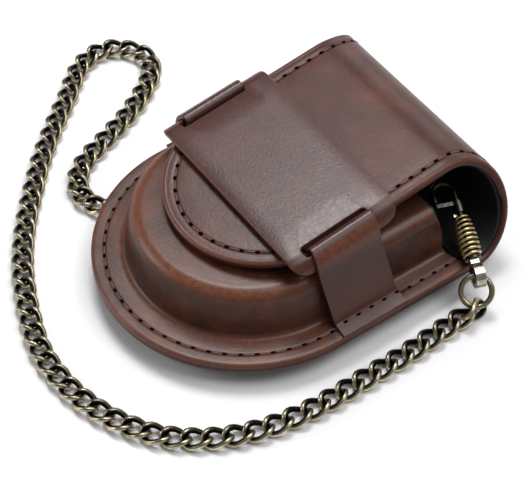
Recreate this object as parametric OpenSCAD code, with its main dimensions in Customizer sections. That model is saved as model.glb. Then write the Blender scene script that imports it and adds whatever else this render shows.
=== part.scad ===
// Moulded leather pocket-watch pouch for a belt, with a curb chain and a sprung hook.
// The pouch lies on its belt loop. X runs across it, +Y towards the fold, +Z up.
// The origin is on the table, under the middle of the pouch. All sizes are in millimetres.

/* [Pouch] */
// Width across the sewn flange
case_w = 70; // [69:0.5:71]
// Length from the round end to the outside of the fold
case_l = 85.4; // [84.5:0.1:86.5]
// Thickness of the back leather
back_t = 1.6; // [1.4:0.1:1.8]
// Thickness of the moulded front leather
front_t = 1.4; // [1.2:0.1:1.5]
// Thickness of the lining cloth
lining_t = 0.6; // [0.4:0.1:0.8]

/* [Moulded pocket] */
// Radius of the moulded cup at its foot
cup_r = 28; // [27.6:0.1:28.2]
// Height of the cup above the flange
cup_h = 11.9; // [11:0.1:11.9]
// How far the wall leans in towards the top
cup_draft = 1.2; // [0.8:0.1:1.6]
// Radius of the rounded shoulder
shoulder_r = 3.8; // [3:0.1:4.2]
// Radius where the wall runs out into the flange
foot_r = 1.3; // [1:0.1:1.6]
// Distance from the mouth of the cup to the middle of the fold
mouth_gap = 4.35; // [3.9:0.05:6.3]

/* [Flap] */
// Width of the flap
flap_w = 48; // [47:0.2:48]
// Length of the flap from the fold to its tip
flap_l = 54; // [53:0.2:54.4]
// Thickness of the flap with its lining
flap_t = 2.4; // [2.2:0.1:2.6]
// Outer radius of the fold
fold_r = 12.35; // [12.2:0.05:12.6]
// Angle at which the flap slopes down from the fold
flap_tilt = 7.4; // [7.2:0.1:7.8]

/* [Band and tabs] */
// Width of the band, along the flap
band_w = 27.4; // [26:0.2:28]
// Thickness of the band
band_t = 1.3; // [1.2:0.05:1.35]
// Free height between the flap and the band
band_gap = 0.8; // [0.7:0.05:1]
// Distance from the fold to the back edge of the band
band_start = 14.3; // [14:0.1:15]
// Width of each side tab where it is sewn to the flange
tab_w = 17.4; // [16:0.1:17.6]
// Width of each side tab in the band's slot
tab_top_w = 15.4; // [14.6:0.1:15.6]
// Thickness of the tabs
tab_t = 1; // [0.9:0.05:1]

/* [Belt loop] */
// Width of the loop
loop_w = 30; // [24:1:30]
// Length of the loop
loop_l = 60; // [56:1:61]
// Thickness of the loop
loop_t = 1.6; // [1.4:0.1:1.8]
// Height of the slot for the belt
loop_gap = 2.4; // [2.3:0.1:2.8]

/* [Chain] */
// Length of chain that each link adds
link_pitch = 4.5; // [4.45:0.01:4.55]
// Diameter of the link wire
link_wire = 1.25; // [1.15:0.01:1.27]
// Number of links in each named stretch of the chain
stretch_links = 10; // [8:1:10]

/* [Sprung hook] */
// Diameter of the stem wire
stem_d = 1.5; // [1.4:0.05:1.55]
// Radius of the bend of the hook
hook_bend = 2.4; // [2.2:0.1:2.4]
// Diameter of the spring wire
coil_wire = 0.7; // [0.6:0.05:0.75]
// Number of turns of the spring
coil_turns = 9; // [8:1:9]
// Outside diameter of the jump ring
ring_d = 8.1; // [8:0.05:8.2]
// Diameter of the jump ring's wire
ring_wire = 1.3; // [1.2:0.05:1.3]

/* [Hidden] */
$fn = 72;

// Heights and places of the pouch
flange_r = case_w / 2;
round_y = flange_r - case_l / 2;
cup_y = round_y + 1.2;
back_z = loop_t + loop_gap;
back_top = back_z + back_t;
flange_z = back_top + front_t;
fold_y = case_l / 2 - fold_r;
fold_z = back_z + fold_r;
mouth_y = fold_y - mouth_gap;
flange_end = mouth_y + 2.5;
cover_t = flap_t - lining_t - 0.2;
inlay_t = flap_t - cover_t;
fold_steps = [-90, -20, 20, 90 + flap_tilt];
flap_split = 13.8;
tip_r = flap_w / 2;
eps = 0.01;
far = 200;

// Band and tabs, in the plane of the flap
bend_x = tip_r - 1.8;
bend_in = 3;
bend_out = bend_in + band_t;
bend_z = band_gap - bend_in;
band_end_angle = 2;
band_corner = 4;
slot_in = bend_x - 0.3;
slot_out = bend_x + 2.1;
slot_end_gap = 0.35;
slot_tip_gap = 1.2;
tab_shift = 0.64;
tab_lean = 1.9;
tab_gap = 0.1;
tab_toe_t = 0.6;
tail_t = band_gap - 0.35;

// Belt loop
loop_y = -1;
loop_sewn = 8;
loop_step = 4;

// Sprung hook, on its own axis from the eye towards the bend
eye_at = [flange_r + 4, fold_y - 3.25, flange_z + 1.2];
hook_turn = 158.4;
hook_rise = 20;
eye_r = 2.8;
eye_hole_r = 1.75;
eye_w = 2.2;
shank_w = 1.9;
seat_x = 3.7;
seat_t = 0.5;
seat_r = 1.9;
hub_r = 1.35;
hub_end = 7;
pin_r = 0.6;
pin_gap = 0.06;
head_r = 0.85;
head_gap = 0.1;
chamber_x = [5, 6.2];
stem_end = 20.3;
nose_l = 1.7;
sleeve_x = 14.95;
sleeve_l = 2.9;
sleeve_r = 1.3;
sleeve_gap = 0.06;
finger_t = 0.9;
finger_w = 1.5;
coil_start = 4.2 + coil_wire / 2 + 0.02;
coil_end = sleeve_x - coil_wire / 2 - 0.02;

// Jump rings
ring_r = (ring_d - ring_wire) / 2;
ring_at = eye_at + [1.78, -1.64, -2.62];
ring_tip = 42.3;
ring_turn = -41.2;
end_ring_r = 2.4;
end_ring_wire = 1;
end_ring_gap = 4;
end_ring_tip = 20;

// Links of the chain: half length and half width of the wire's centre line, and its twist
link_a = 3;
link_b = 2.05;
link_twist = -45;
link_square = 0.9;
link_rings = 12;
link_sides = 5;
link_z = 1.45;
links = 8 * stretch_links;
// Slack that each link gives up in a bend, for each degree it turns, and the most it gives up
bend_slack = 0.015;
slack_max = 0.3;
// The first link hangs from the jump ring, tilted
first_at = [43.1, 23.13, 2.78];
first_turn = [-84.3, -8, -80];

// Route of the chain on the table, from the jump ring round to the end below the pouch
route_shift = flange_r - 35;
route = [
    [42.2, 22.8], [42.2, 19], [42.6, 12], [43, 4], [43, -6], [43, -16], [42.4, -24], [40.5, -33], [36.5, -42],
    [30, -50], [20.5, -56], [9, -59.4], [-3, -59.6], [-14, -56.6], [-26, -51.4], [-36, -45.2], [-45, -38],
    [-54, -30], [-62, -21.5], [-68.5, -14], [-74.5, -7.5], [-77.2, -1], [-75.5, 5], [-69.5, 8.8], [-63.5, 7.2],
    [-58.5, 1.5], [-54, -6], [-50.5, -14], [-47, -22], [-42.5, -27], [-36.5, -28.4], [-31, -25.5], [-28, -18],
    [-27, -8], [-26.5, 4], [-26, 16], [-24.5, 27], [-19, 34.5], [-10, 38], [0, 38.5], [10, 38.5]
];
route_steps = 6;

// Smooth curve through the route's points, its length so far, and the place at a given length
function bow(a, b, c, d, t) =
    0.5 * ((2 * b) + (c - a) * t + (2 * a - 5 * b + 4 * c - d) * t * t + (3 * b - a - 3 * c + d) * t * t * t);
function route_end(i) = route[min(max(i, 0), len(route) - 1)];
curve = [
    for (i = [0 : len(route) - 2], k = [0 : route_steps - 1])
        bow(route_end(i - 1), route_end(i), route_end(i + 1), route_end(i + 2), k / route_steps)
];
function lengths(i, sum) =
    i >= len(curve) ? [] : concat([sum + norm(curve[i] - curve[i - 1])], lengths(i + 1, sum + norm(curve[i] - curve[i - 1])));
reach = concat([0], lengths(1, 0));
function span_at(s, i = 0) = (i >= len(reach) - 2 || reach[i + 1] > s) ? i : span_at(s, i + 1);
function place_at(s) =
    let (i = span_at(s), t = (s - reach[i]) / (reach[i + 1] - reach[i]))
    curve[i] + (curve[i + 1] - curve[i]) * t;
function way_at(s) = place_at(s + link_pitch / 2) - place_at(s - link_pitch / 2);
function heading_at(s) =
    let (d = way_at(s))
    atan2(d[1], d[0]);
function bend_at(s) =
    let (a = way_at(s - link_pitch / 2), b = way_at(s + link_pitch / 2))
    asin(min(1, abs(a[0] * b[1] - a[1] * b[0]) / norm(a) / norm(b)));
function ways(i, s) =
    i >= links
        ? []
        : concat([s], ways(i + 1, s + link_pitch - min(slack_max, bend_slack * bend_at(s + link_pitch / 2))));
way = ways(1, link_pitch / 2);

// Centre line of one twisted curb link, and the points of its wire
function squared(v) = sign(v) * pow(abs(v), link_square) / cos(180 / link_rings);
function link_line(t) =
    let (x = link_a * squared(cos(t)), y = link_b * squared(sin(t)), turn = link_twist * x / link_a)
    [x, y * cos(turn), y * sin(turn)];
function unit(v) = v / norm(v);
function wire_ring(p, along, out, r, sides) =
    let (t = unit(along), n = unit(out - t * (out * t)), b = cross(t, n))
    [for (k = [0 : sides - 1]) p + r * (cos(360 * k / sides) * n + sin(360 * k / sides) * b)];
link_points = [
    for (i = [0 : link_rings - 1])
        let (t = 360 * (i + 0.5) / link_rings)
        each wire_ring(link_line(t), link_line(t + 2) - link_line(t - 2), link_line(t), link_wire / 2, link_sides)
];

// Faces between rings of points: closed into a loop, or as an open tube with flat ends
function loop_faces(rings, sides) = [
    for (i = [0 : rings - 1], k = [0 : sides - 1])
        let (a = i * sides, b = ((i + 1) % rings) * sides, m = (k + 1) % sides)
        each [[a + k, a + m, b + k], [a + m, b + m, b + k]]
];
function tube_faces(rings, sides) = concat(
    [
        for (i = [0 : rings - 2], k = [0 : sides - 1])
            let (a = i * sides, b = (i + 1) * sides, m = (k + 1) % sides)
            each [[a + k, a + m, b + k], [a + m, b + m, b + k]]
    ],
    [[for (k = [sides - 1 : -1 : 0]) k]],
    [[for (k = [0 : sides - 1]) (rings - 1) * sides + k]]
);

// Outline of the flange: a half circle with parallel sides up to y
module flange_outline(r, y) {
    translate([0, round_y])
        circle(r = r, $fn = 120);
    translate([-r, round_y])
        square([2 * r, y - round_y]);
}

// Half section of the cup, from its axis outwards, and of the hollow inside it
function arc(c, r, a0, a1, n) = [for (i = [0 : n]) c + r * [cos(a0 + (a1 - a0) * i / n), sin(a0 + (a1 - a0) * i / n)]];
function cup_section() = concat(
    [[0, -eps]],
    [[cup_r + foot_r, -eps]],
    arc([cup_r + foot_r, foot_r], foot_r, 270, 180, 8),
    arc([cup_r - cup_draft - shoulder_r, cup_h - shoulder_r], shoulder_r, 0, 90, 10),
    [[0, cup_h]]
);
function hollow_section(t) = concat(
    [[0, -2 * front_t]],
    [[cup_r - t, -2 * front_t]],
    [[cup_r - t, foot_r]],
    arc([cup_r - cup_draft - shoulder_r, cup_h - shoulder_r], shoulder_r - t, 0, 90, 10),
    [[0, cup_h - t]]
);

// A half section turned round the closed end of the cup and drawn out straight towards the mouth
module cup_form(section, y) {
    translate([0, cup_y, flange_z]) {
        intersection() {
            rotate_extrude($fn = 120)
                polygon(section);
            translate([-far / 2, -far, -far / 2])
                cube([far, far + eps, far]);
        }
        for (side = [0, 1])
            mirror([side, 0, 0])
                translate([0, y - cup_y, 0])
                    rotate([90, 0, 0])
                        linear_extrude(y - cup_y)
                            polygon(section);
    }
}

module back_panel() {
    color("#5a3026")
        translate([0, 0, back_z])
            linear_extrude(back_t)
                flange_outline(flange_r, fold_y);
}

module back_lining() {
    color("#141416")
        translate([0, 0, back_top])
            linear_extrude(lining_t)
                intersection() {
                    translate([0, cup_y - round_y])
                        flange_outline(cup_r - front_t - lining_t - 0.3, fold_y);
                    translate([-far / 2, -far / 2])
                        square([far, far / 2 + fold_y]);
                }
}

module front_pocket() {
    color("#5e3227")
        difference() {
            union() {
                translate([0, 0, back_top])
                    linear_extrude(front_t)
                        difference() {
                            flange_outline(flange_r, flange_end);
                            polygon([
                                [-cup_r - foot_r, mouth_y], [cup_r + foot_r, mouth_y],
                                [flange_r, flange_end + eps], [-flange_r, flange_end + eps]
                            ]);
                        }
                cup_form(cup_section(), mouth_y);
            }
            cup_form(hollow_section(front_t), mouth_y + 1);
        }
}

module pocket_lining() {
    color("#141416")
        difference() {
            intersection() {
                cup_form(hollow_section(front_t), mouth_y);
                translate([-far / 2, -far / 2, back_top])
                    cube([far, far, far]);
            }
            cup_form(hollow_section(front_t + lining_t), mouth_y + 1);
        }
}

// One step of the fold: part of a ring between two angles, narrowing towards the flap
module fold_step(i, r_in, r_out) {
    a0 = fold_steps[i];
    a1 = fold_steps[i + 1];
    mid = (a0 + a1) / 2;
    intersection() {
        translate([-far / 2, fold_y, fold_z])
            rotate([90, 0, 90])
                linear_extrude(far)
                    intersection() {
                        difference() {
                            circle(r = r_out, $fn = 120);
                            circle(r = r_in, $fn = 120);
                        }
                        polygon([
                            [0, 0], far * [cos(a0), sin(a0)], 2 * far * [cos(mid), sin(mid)], far * [cos(a1), sin(a1)]
                        ]);
                    }
        translate([0, far / 2, 0])
            rotate([90, 0, 0])
                linear_extrude(far)
                    polygon([
                        [-flange_r, back_z], [flange_r, back_z],
                        [tip_r, back_z + 2 * fold_r], [-tip_r, back_z + 2 * fold_r]
                    ]);
    }
}

module fold_lower() {
    color("#5a3026")
        fold_step(0, fold_r - cover_t, fold_r);
}

module fold_lower_lining() {
    color("#141416")
        fold_step(0, fold_r - flap_t, fold_r - cover_t);
}

module fold_back() {
    color("#5a3026")
        fold_step(1, fold_r - cover_t, fold_r);
}

module fold_back_lining() {
    color("#141416")
        fold_step(1, fold_r - flap_t, fold_r - cover_t);
}

module fold_upper() {
    color("#5a3026")
        fold_step(2, fold_r - cover_t, fold_r);
}

module fold_upper_lining() {
    color("#141416")
        fold_step(2, fold_r - flap_t, fold_r - cover_t);
}

// The plane of the flap: its top at z 0, its fold end at y 0, its tip towards -Y
module on_flap() {
    translate([0, fold_y - fold_r * sin(flap_tilt), fold_z + fold_r * cos(flap_tilt)])
        rotate([flap_tilt, 0, 0])
            children();
}

module flap_sheet(from, to, z, t) {
    on_flap()
        translate([0, 0, z])
            linear_extrude(t)
                intersection() {
                    union() {
                        translate([0, tip_r - flap_l])
                            circle(r = tip_r, $fn = 120);
                        translate([-tip_r, tip_r - flap_l])
                            square([flap_w, flap_l - tip_r]);
                    }
                    translate([-far / 2, -to])
                        square([far, to - from]);
                }
}

module flap_upper() {
    color("#5a3026")
        flap_sheet(0, flap_split, -cover_t, cover_t);
}

module flap_upper_lining() {
    color("#141416")
        flap_sheet(0, flap_split, -flap_t, inlay_t);
}

module flap_tongue() {
    color("#5a3026")
        flap_sheet(flap_split, flap_l, -cover_t, cover_t);
}

module flap_tongue_lining() {
    color("#4a271f")
        flap_sheet(flap_split, flap_l, -flap_t, inlay_t);
}

// Cross section of the band: flat over the flap, with ends that bend down past its edges
module band_section() {
    translate([-bend_x, band_gap])
        square([2 * bend_x, band_t]);
    for (side = [0, 1])
        mirror([side, 0])
            translate([bend_x, bend_z])
                intersection() {
                    difference() {
                        circle(r = bend_out);
                        circle(r = bend_in);
                    }
                    polygon([
                        [0, 0], far * [cos(band_end_angle), sin(band_end_angle)], [far, far], [0, far]
                    ]);
                }
}

// Outline of the band from above, with rounded corners
module band_outline() {
    reach_x = bend_x + bend_out - band_corner;
    for (x = [-reach_x, reach_x], y = [band_corner, band_w - band_corner])
        translate([x, -band_start - y])
            circle(r = band_corner);
    translate([-reach_x, -band_start - band_w])
        square([2 * reach_x, band_w]);
    translate([-reach_x - band_corner, -band_start - band_w + band_corner])
        square([2 * (reach_x + band_corner), band_w - 2 * band_corner]);
}

// A height on the flap's top at a given y, and the place on the flap plane below a given y
function flap_top(y) =
    fold_z + fold_r * cos(flap_tilt) + (y - fold_y + fold_r * sin(flap_tilt)) * tan(flap_tilt);
function flap_way(y) = (y - fold_y + fold_r * sin(flap_tilt)) / cos(flap_tilt);

module band() {
    color("#63362b")
        on_flap()
            difference() {
                intersection() {
                    translate([0, -band_start, 0])
                        rotate([90, 0, 0])
                            linear_extrude(band_w)
                                band_section();
                    translate([0, 0, -far / 2])
                        linear_extrude(far)
                            band_outline();
                }
                for (side = [0, 1])
                    mirror([side, 0, 0])
                        translate([slot_in, flap_way(tab_y - tab_top_w / 2) - slot_tip_gap, -1])
                            cube([slot_out - slot_in, tab_top_w + slot_tip_gap + slot_end_gap, 5]);
            }
}

// Middle line of a tab as [x, z, thickness]: toe on the flange, straight up past the cup, over the band's end
// and into the slot
tab_y = fold_y - fold_r * sin(flap_tilt) - (band_start + band_w / 2) * cos(flap_tilt) - tab_shift;
tab_r = bend_out + tab_gap + tab_t / 2;
tab_rise = 15;
curl_r = 1.25;
curl_from = 58.6;
toe_x = flange_r - 2.8;
toe_r = 1.3;
function thick(points, t) = [for (p = points) [p[0], p[1], t]];
function tab_line(top) =
    let (
        roll = [bend_x, top + bend_z],
        curl = roll + tab_r * [cos(curl_from), sin(curl_from)] - curl_r * [cos(curl_from), sin(curl_from)],
        down = curl[0] - curl_r
    )
    concat(
        [[flange_r, flange_z + tab_gap / 2 + tab_toe_t / 2, tab_toe_t]],
        thick(arc([toe_x, flange_z + tab_gap + tab_t / 2 + toe_r], toe_r, 270, 180 + tab_rise, 5), tab_t),
        thick(arc(roll, tab_r, tab_rise, curl_from, 8), tab_t),
        thick(arc(curl, curl_r, curl_from + 19, 180, 5), tab_t),
        [[down - 0.02, top + band_gap + 0.35, tab_t * 0.9]],
        [[down - 0.2, top + band_gap - 0.15, tab_t * 0.6]],
        [[down - 0.8, top + band_gap - tail_t / 2 - 0.05, tail_t]],
        [[down - 4, top + band_gap - tail_t / 2 - 0.05, tail_t]]
    );

// Where the edge of a tab lies at a point of its line: wider and further towards the fold near the flange
function tab_side(p, top, side) =
    let (
        down = min(1, (top + bend_z - p[1]) / (top + bend_z - flange_z)),
        out = min(1, (p[0] - bend_x) / (flange_r - bend_x))
    )
    tab_y + tab_lean * max(0, down) + side * (tab_top_w + (tab_w - tab_top_w) * max(0, out)) / 2;
function tab_edges(side) =
    let (top = flap_top(tab_y + side * tab_top_w / 2), line = tab_line(top))
    [
        for (i = [0 : len(line) - 1])
            let (
                a = line[max(i - 1, 0)],
                b = line[min(i + 1, len(line) - 1)],
                d = unit([b[0] - a[0], b[1] - a[1]]),
                n = [d[1], -d[0]] * line[i][2] / 2,
                y = tab_side(line[i], top, side)
            )
            each [[line[i][0] + n[0], y, line[i][1] + n[1]], [line[i][0] - n[0], y, line[i][1] - n[1]]]
    ];

module tab() {
    near = tab_edges(-1);
    away = tab_edges(1);
    n = len(near) / 2;
    points = [for (i = [0 : n - 1]) each [near[2 * i], near[2 * i + 1], away[2 * i + 1], away[2 * i]]];
    polyhedron(points, tube_faces(n, 4));
}

module right_tab() {
    color("#63362b")
        tab();
}

module left_tab() {
    color("#63362b")
        mirror([1, 0, 0])
            tab();
}

module belt_loop() {
    y0 = loop_y - loop_l / 2;
    y1 = loop_y + loop_l / 2;
    color("#5a3026")
        translate([-loop_w / 2, 0, 0])
            rotate([90, 0, 90])
                linear_extrude(loop_w)
                    polygon([
                        [y0, back_z], [y0, back_z - loop_t],
                        [y0 + loop_sewn, back_z - loop_t], [y0 + loop_sewn + loop_step, 0],
                        [y1 - loop_sewn - loop_step, 0], [y1 - loop_sewn, back_z - loop_t],
                        [y1, back_z - loop_t], [y1, back_z],
                        [y1 - loop_sewn - 1, back_z], [y1 - loop_sewn - 1 - loop_step, loop_t],
                        [y0 + loop_sewn + 1 + loop_step, loop_t], [y0 + loop_sewn + 1, back_z]
                    ]);
}

// One link of the chain, at its place along the route
module link_at(i) {
    s = way[i - 1];
    p = i == 0 ? first_at : [each place_at(s), link_z];
    translate([p[0] + route_shift, p[1], p[2]])
        rotate(i == 0 ? first_turn : [0, 0, heading_at(s)])
            polyhedron(link_points, loop_faces(link_rings, link_sides));
}

module stretch(n) {
    color("#8a7a4d")
        for (i = [(n - 1) * stretch_links : n * stretch_links - 1])
            link_at(i);
}

module chain_1() {
    stretch(1);
}

module chain_2() {
    stretch(2);
}

module chain_3() {
    stretch(3);
}

module chain_4() {
    stretch(4);
}

module chain_5() {
    stretch(5);
}

module chain_6() {
    stretch(6);
}

module chain_7() {
    stretch(7);
}

module chain_8() {
    stretch(8);
}

module wire_hoop(r, wire) {
    rotate_extrude($fn = 72)
        translate([r, 0])
            circle(d = wire, $fn = 24);
}

module end_ring() {
    s = way[links - 2];
    p = place_at(s);
    a = heading_at(s);
    color("#8a7a4d")
        translate([p[0] + route_shift + end_ring_gap * cos(a), p[1] + end_ring_gap * sin(a), link_z])
            rotate([end_ring_tip, 0, a])
                wire_hoop(end_ring_r, end_ring_wire);
}

module jump_ring() {
    color("#8a7a4d")
        translate(ring_at)
            rotate([0, ring_tip, ring_turn])
                wire_hoop(ring_r, ring_wire);
}

// The axis of the hook: the eye at its origin, the bend towards +X
module on_hook() {
    translate(eye_at)
        rotate([0, -hook_rise, hook_turn])
            children();
}

module rod(x0, x1, r) {
    translate([x0, 0, 0])
        rotate([0, 90, 0])
            cylinder(r = r, h = x1 - x0, $fn = 36);
}

module hook_swivel() {
    color("#9c8a57")
        on_hook() {
            rotate([90, 0, 0])
                rotate_extrude($fn = 60)
                    translate([eye_hole_r, -eye_w / 2])
                        square([eye_r - eye_hole_r, eye_w]);
            translate([eye_r - 0.3, -shank_w / 2, -shank_w / 2])
                cube([seat_x - head_gap - eye_r + 0.3, shank_w, shank_w]);
            rod(seat_x - head_gap - eps, chamber_x[0] + head_gap + eps, pin_r);
            rod(chamber_x[0] + head_gap, chamber_x[1] - head_gap, head_r);
        }
}

module hook() {
    color("#8a7a4d")
        on_hook() {
            difference() {
                union() {
                    rod(seat_x, seat_x + seat_t, seat_r);
                    rod(seat_x + seat_t - eps, hub_end, hub_r);
                }
                rod(seat_x - 1, chamber_x[0] + eps, pin_r + pin_gap);
                rod(chamber_x[0], chamber_x[1], head_r + pin_gap);
            }
            rod(hub_end - eps, stem_end, stem_d / 2);
            translate([stem_end, hook_bend, 0])
                rotate([0, 0, -90])
                    rotate_extrude(angle = 180, $fn = 72)
                        translate([hook_bend, 0])
                            circle(d = stem_d, $fn = 24);
            translate([0, 2 * hook_bend, 0]) {
                rod(stem_end - nose_l, stem_end + eps, stem_d / 2);
                translate([stem_end - nose_l, 0, 0])
                    sphere(d = stem_d, $fn = 24);
            }
        }
}

module hook_keeper() {
    top = sleeve_x + sleeve_l;
    finger_top = stem_end - nose_l - stem_d / 2 - 0.1;
    color("#a5935f")
        on_hook()
            difference() {
                union() {
                    rod(sleeve_x, min(top, finger_top), sleeve_r);
                    translate([finger_top - finger_t, 0, -finger_w / 2])
                        cube([finger_t, 2 * hook_bend, finger_w]);
                    translate([0, 2 * hook_bend, 0])
                        rod(finger_top - finger_t, finger_top, finger_w / 2);
                }
                rod(sleeve_x - 1, top + 1, stem_d / 2 + sleeve_gap);
            }
}

// Mean radius of the beehive spring at a share s of its length, from the seat to the sleeve
coil_mid_r = 2.1;
coil_seat_r = 1.9;
coil_top_r = 1.2;
coil_peak = 0.4;
coil_rings = 10;
coil_sides = 5;
function coil_r(s) =
    s < coil_peak
        ? coil_mid_r - (coil_mid_r - coil_seat_r) * pow((coil_peak - s) / coil_peak, 2)
        : coil_mid_r - (coil_mid_r - coil_top_r) * pow((s - coil_peak) / (1 - coil_peak), 2);
function coil_line(s) =
    [coil_start + (coil_end - coil_start) * s, coil_r(s) * cos(360 * coil_turns * s), coil_r(s) * sin(360 * coil_turns * s)];

module hook_spring() {
    n = coil_rings * coil_turns;
    points = [
        for (i = [0 : n])
            let (s = i / n, p = coil_line(s))
            each wire_ring(p, coil_line(s + 0.002) - coil_line(s - 0.002), [0, p[1], p[2]], coil_wire / 2, coil_sides)
    ];
    color("#c9ae6a")
        on_hook()
            polyhedron(points, tube_faces(n + 1, coil_sides));
}

back_panel();
back_lining();
front_pocket();
pocket_lining();
band();
left_tab();
right_tab();
belt_loop();
fold_lower();
fold_lower_lining();
fold_back();
fold_back_lining();
fold_upper();
fold_upper_lining();
flap_upper();
flap_upper_lining();
flap_tongue();
flap_tongue_lining();
chain_1();
chain_2();
chain_3();
chain_4();
chain_5();
chain_6();
chain_7();
chain_8();
end_ring();
jump_ring();
hook_swivel();
hook();
hook_keeper();
hook_spring();
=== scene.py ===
# %% [markdown]
# # A moulded leather pocket-watch pouch
# The pouch is a strip of thick leather. One end is the back of the pouch, the middle
# bends over as the fold, and the other end is the flap, tucked under a band.
# A second leather, moulded while wet, makes the round cup that holds the watch.
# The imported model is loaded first: each piece made here takes the place that it gives.

import math

import bmesh
import bpy
from mathutils import Matrix, Vector


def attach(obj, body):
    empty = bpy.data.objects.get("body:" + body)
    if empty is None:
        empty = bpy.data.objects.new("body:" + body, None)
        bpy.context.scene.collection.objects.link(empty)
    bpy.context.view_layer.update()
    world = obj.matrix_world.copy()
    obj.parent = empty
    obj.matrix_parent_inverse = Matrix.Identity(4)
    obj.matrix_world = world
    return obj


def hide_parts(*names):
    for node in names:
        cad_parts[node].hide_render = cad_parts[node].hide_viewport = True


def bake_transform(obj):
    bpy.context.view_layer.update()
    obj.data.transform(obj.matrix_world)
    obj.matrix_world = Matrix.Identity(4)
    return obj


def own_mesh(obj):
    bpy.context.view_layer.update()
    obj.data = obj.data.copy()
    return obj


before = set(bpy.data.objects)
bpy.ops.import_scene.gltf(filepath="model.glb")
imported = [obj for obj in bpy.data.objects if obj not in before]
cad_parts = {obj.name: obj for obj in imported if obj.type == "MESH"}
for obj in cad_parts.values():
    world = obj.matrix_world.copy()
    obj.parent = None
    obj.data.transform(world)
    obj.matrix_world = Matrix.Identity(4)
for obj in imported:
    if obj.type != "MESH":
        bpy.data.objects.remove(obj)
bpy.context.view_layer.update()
print("nodes loaded:", len(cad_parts))

# %% [markdown]
# The pieces are shaped in millimetres and scaled to metres when they are finished.
# These are the pouch's own sizes, the same as in its CAD source.

# %% Sizes of the pouch
MM = 0.001
FLANGE_R = 35.0
ROUND_Y = -7.7
CUP_Y = -6.5
BACK_Z = 4.0
FLANGE_Z = 7.0
MOUTH_Y = 26.0
FOLD_Y = 30.35
FOLD_Z = 16.35
FOLD_R = 12.35
FLAP_HALF = 24.0
FLAP_STRAIGHT = 30.0
TILT = math.radians(7.4)
SEAM_IN = 3.0
STITCH = 3.5
FLAP_TOP_Y = FOLD_Y - FOLD_R * math.sin(TILT)
FLAP_TOP_Z = FOLD_Z + FOLD_R * math.cos(TILT)
print("flap starts at", round(FLAP_TOP_Y, 2), round(FLAP_TOP_Z, 2))

# %% [markdown]
# The photograph looks down at the pouch from its round end and right side, from about
# 40 cm away. A long lens keeps the perspective as mild as it is there.

# %% Camera
TARGET = Vector((2.09, -4.36, 7.0))
VIEW_AZ = math.radians(56.2)
VIEW_EL = math.radians(49.5)
VIEW_ROLL = math.radians(-1.7)
DISTANCE = 400.0
FOCAL_PX = 1780.0
FRAME_W = 528

right = Vector((math.cos(VIEW_AZ), math.sin(VIEW_AZ), 0))
level = Vector((-math.sin(VIEW_AZ), math.cos(VIEW_AZ), 0))
forward = level * math.cos(VIEW_EL) - Vector((0, 0, math.sin(VIEW_EL)))
upward = right.cross(forward)
turned_right = right * math.cos(VIEW_ROLL) + upward * math.sin(VIEW_ROLL)
turned_up = upward * math.cos(VIEW_ROLL) - right * math.sin(VIEW_ROLL)

lens = bpy.data.cameras.new("camera")
lens.sensor_width = 36
lens.lens = FOCAL_PX * lens.sensor_width / FRAME_W
lens.clip_start = 0.01
lens.clip_end = 20
camera = bpy.data.objects.new("camera", lens)
bpy.context.scene.collection.objects.link(camera)
turn = Matrix((turned_right, turned_up, -forward)).transposed().to_4x4()
camera.matrix_world = Matrix.Translation((TARGET - forward * DISTANCE) * MM) @ turn
bpy.context.scene.camera = camera
print("camera at", [round(c, 3) for c in camera.location], "lens", round(lens.lens, 1))

# %% [markdown]
# Two helpers turn a finished bmesh into an object. Each vertex also gets a number:
# 1 where the leather is rubbed or stretched and shows its lighter colour. On the chain's
# links the same number also holds painted light: lighter outsides as painted reflection,
# duller tops, and near-black insides as painted shade.

# %% Helpers for pieces


def closed(bm, gap=0.002):
    """Merges doubled vertices and points every face outwards."""
    bmesh.ops.remove_doubles(bm, verts=bm.verts, dist=gap)
    bmesh.ops.recalc_face_normals(bm, faces=bm.faces)


def finish_piece(name, bm, material, replaced=(), crisp=35, wear_and_light=None):
    """Makes the object, in metres, and hides the CAD nodes it stands for."""
    mesh = bpy.data.meshes.new(name)
    marks = [wear_and_light(v.co) if wear_and_light else 0.0 for v in bm.verts]
    bmesh.ops.scale(bm, vec=(MM, MM, MM), verts=bm.verts)
    bm.to_mesh(mesh)
    bm.free()
    mesh.attributes.new("wear_and_light", "FLOAT", "POINT").data.foreach_set("value", marks)
    mesh.shade_smooth()
    mesh.set_sharp_from_angle(angle=math.radians(crisp))
    mesh.materials.append(material)
    piece = bpy.data.objects.new(name, mesh)
    bpy.context.scene.collection.objects.link(piece)
    if replaced:
        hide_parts(*replaced)
    print(name, "faces:", len(mesh.polygons))
    return piece


def arc(cx, cz, r, start, end, steps):
    """Points on an arc, as pairs, between two angles in degrees."""
    turns = [math.radians(start + (end - start) * i / steps) for i in range(steps + 1)]
    return [(cx + r * math.cos(a), cz + r * math.sin(a)) for a in turns]


def smooth(low, high, value):
    t = min(1, max(0, (value - low) / (high - low)))
    return t * t * (3 - 2 * t)


def chain_edges(bm, points):
    """A row of vertices joined by edges."""
    verts = [bm.verts.new(p) for p in points]
    edges = [bm.edges.new(pair) for pair in zip(verts, verts[1:])]
    return verts, edges


def pull(bm, edges, move):
    """Extrudes edges once and moves the new ones. Returns the new edges."""
    grown = bmesh.ops.extrude_edge_only(bm, edges=edges)["geom"]
    verts = {g for g in grown if isinstance(g, bmesh.types.BMVert)}
    bmesh.ops.translate(bm, vec=move, verts=list(verts))
    return [g for g in grown if isinstance(g, bmesh.types.BMEdge) and set(g.verts) <= verts]


# %% [markdown]
# Waxed leather is dark red-brown, with cloudy patches, a fine grain, and a lighter
# orange-brown where it is bent or rubbed. Noise on the object's own coordinates gives
# the clouds and the grain, and the number stored at each vertex brings in the lighter colour.
# At the round end the ripples' ridges get a painted highlight in the same lighter colour.

# %% Helpers for finishes


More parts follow.
